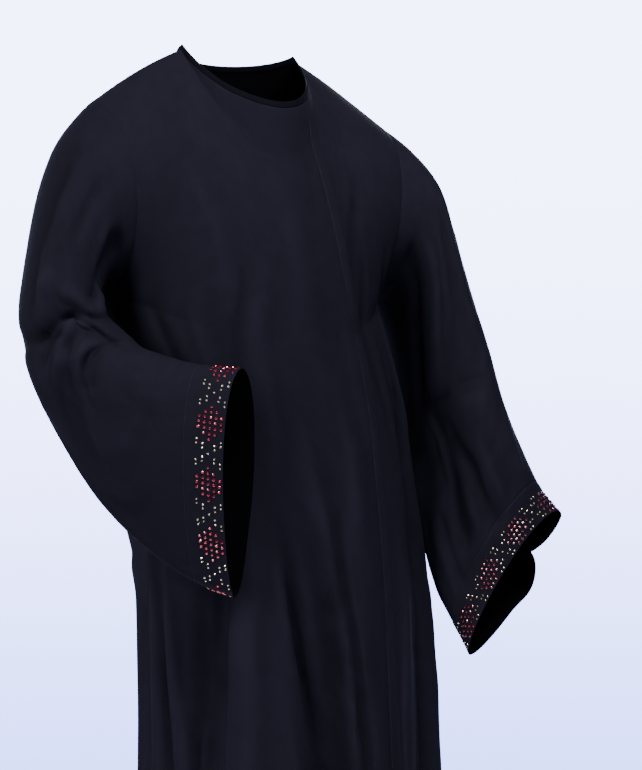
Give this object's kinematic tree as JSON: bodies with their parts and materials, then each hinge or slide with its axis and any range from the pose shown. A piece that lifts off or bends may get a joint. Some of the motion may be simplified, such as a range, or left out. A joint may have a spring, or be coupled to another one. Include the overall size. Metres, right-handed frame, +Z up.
{
  "type": "abaya",
  "caption": "Long open-front abaya in plain cloth, lapped right over left with a narrow front band and wide straight sleeves, held in its worn hollow form.",
  "frame": {"origin": "middle of the base of the neck, where the wearer carries the garment", "axes": "+Z up along the wearer, -Y the way the front faces, +X to the wearer's left"},
  "size_m": [0.6896, 0.3826, 1.4292],
  "materials": {
    "crepe": "matt woven crepe",
    "binding": "matt woven bias strip"
  },
  "bodies": {
    "root": {"front_right": "crepe", "front_left": "crepe", "front_band": "crepe", "back": "crepe", "sleeve_right": "crepe", "sleeve_left": "crepe", "neck_binding": "binding"}
  },
  "joints": []
}
